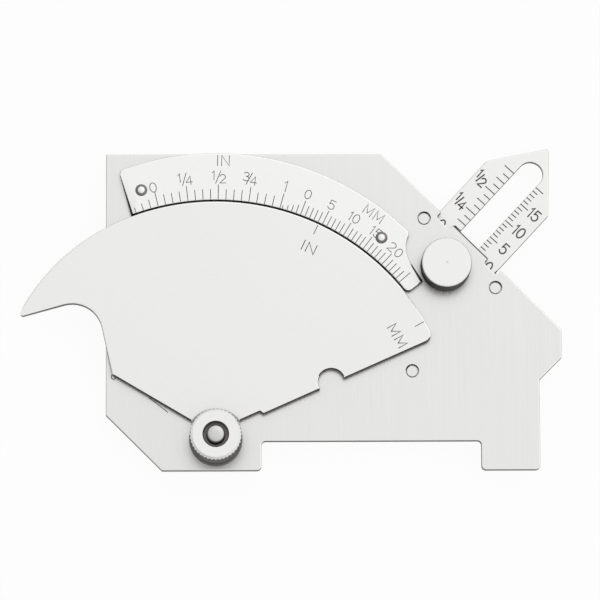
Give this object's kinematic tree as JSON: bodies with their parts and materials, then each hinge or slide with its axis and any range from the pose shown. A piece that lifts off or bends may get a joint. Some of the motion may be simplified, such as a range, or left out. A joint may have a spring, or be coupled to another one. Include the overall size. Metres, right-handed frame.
{
  "type": "weld gauge",
  "caption": "Flat steel weld gauge: a body plate with two feet, a beaked cam that swings below an arc scale, and a pointed throat slide with a thumb screw.",
  "frame": {"origin": "the pivot axis of the cam, on the plane that the gauge rests on when it lies on its back", "axes": "+X along the feet to the nose, +Y from the feet to the top edge, +Z out of the graduated faces"},
  "size_m": [0.1181, 0.0714, 0.0151],
  "materials": {
    "brushed_plate": "brushed",
    "satin_plate": "satin",
    "turned_steel": "fine turned",
    "fitting_steel": "plain"
  },
  "bodies": {
    "body": {"scale_rivet_left": "fitting_steel", "scale_rivet_right": "fitting_steel", "pivot_stud": "fitting_steel", "pivot_washer": "fitting_steel", "guide_pillar_upper_outer": "fitting_steel", "guide_pillar_lower_outer": "fitting_steel", "guide_pillar_upper_inner": "fitting_steel", "guide_pillar_lower_inner": "fitting_steel", "clamp_bush": "fitting_steel", "body_plate": "brushed_plate", "back_cover": "brushed_plate", "scale_plate": "satin_plate"},
    "cam": {"cam_plate": "satin_plate"},
    "slide": {"throat_slide": "satin_plate"},
    "pivot_nut": {"pivot_nut": "turned_steel"},
    "thumb_screw": {"thumb_screw": "turned_steel"}
  },
  "joints": [
    {"name": "cam_swing", "type": "hinge", "parent": "body", "child": "cam", "pos_m": [0, 0, 0.00565], "axis": [0, 0, 1], "range_deg": [-15, 44]},
    {"name": "throat_slide_travel", "type": "slide", "parent": "body", "child": "slide", "axis": [0.6795, 0.7337, 0], "range_m": [-0.0194, 0.0006]},
    {"name": "pivot_nut_turn", "type": "hinge", "parent": "body", "child": "pivot_nut", "pos_m": [0, 0, 0.0103], "axis": [0, 0, 1], "range_deg": [0, 180]},
    {"name": "thumb_screw_turn", "type": "hinge", "parent": "body", "child": "thumb_screw", "pos_m": [0.05036, 0.03801, 0.0074], "axis": [0, 0, 1], "range_deg": [0, 180]}
  ]
}
